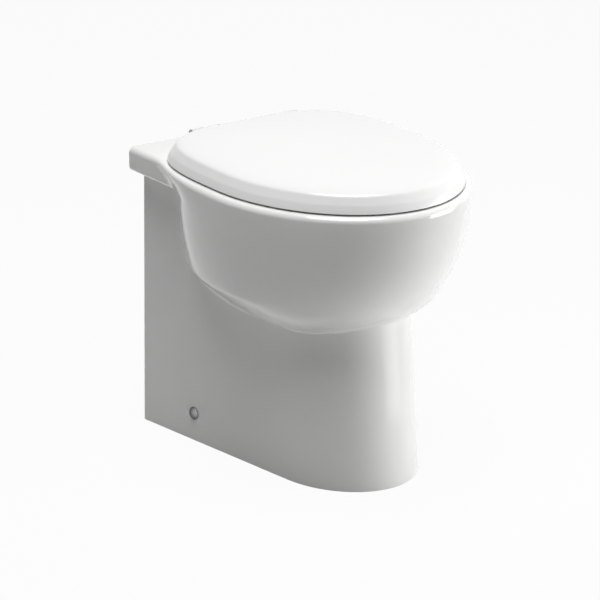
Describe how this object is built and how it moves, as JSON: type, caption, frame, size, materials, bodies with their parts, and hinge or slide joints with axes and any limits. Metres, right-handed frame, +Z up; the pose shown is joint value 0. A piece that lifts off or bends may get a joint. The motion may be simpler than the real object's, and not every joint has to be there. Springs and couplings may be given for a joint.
{
  "type": "back to wall toilet",
  "caption": "Back to wall toilet pan with a hollow plinth, a bowl with a trap, and a wrap-over seat and lid on a soft-close hinge.",
  "frame": {"origin": "on the floor, under the middle of the pan's width and projection", "axes": "+Z up, -Y out of the front of the bowl, +Y towards the wall behind, +X to the right of the picture"},
  "size_m": [0.358, 0.467, 0.4323],
  "materials": {
    "china": "glossy white vitreous glaze",
    "thermoset": "glossy white moulded thermoset",
    "nylon": "satin white nylon",
    "grey_plastic": "satin grey plastic",
    "grey_rubber": "soft grey rubber",
    "steel": "plain stainless steel",
    "chrome": "polished chrome",
    "galvanised": "zinc plated steel"
  },
  "bodies": {
    "pan": {"pan": "china", "hinge_post_left": "nylon", "hinge_post_right": "nylon", "hinge_plate_left": "nylon", "hinge_plate_right": "nylon", "plate_gasket_left": "grey_rubber", "plate_gasket_right": "grey_rubber", "hinge_pin_left": "steel", "hinge_pin_right": "steel", "seat_bolt_left": "steel", "seat_bolt_right": "steel", "seat_bolt_bush_left": "grey_rubber", "seat_bolt_bush_right": "grey_rubber", "seat_bolt_washer_left": "steel", "seat_bolt_washer_right": "steel", "wing_nut_left": "nylon", "wing_nut_right": "nylon", "floor_bracket_left": "galvanised", "floor_bracket_right": "galvanised", "side_screw_left": "steel", "side_screw_right": "steel", "screw_sleeve_left": "nylon", "screw_sleeve_right": "nylon", "cover_cap_left": "chrome", "cover_cap_right": "chrome"},
    "seat": {"seat_ring": "thermoset", "seat_buffers": "grey_rubber", "seat_damper": "grey_plastic", "seat_bush": "nylon"},
    "lid": {"lid": "thermoset", "lid_buffers": "grey_rubber", "lid_damper": "grey_plastic", "lid_bush": "nylon"}
  },
  "joints": [
    {"name": "seat_hinge", "type": "hinge", "parent": "pan", "child": "seat", "pos_m": [0, 0.1815, 0.418], "axis": [-1, 0, 0], "range_deg": [0, 92]},
    {"name": "lid_hinge", "type": "hinge", "parent": "seat", "child": "lid", "pos_m": [0, 0.1815, 0.418], "axis": [-1, 0, 0], "range_deg": [0, 92]}
  ]
}
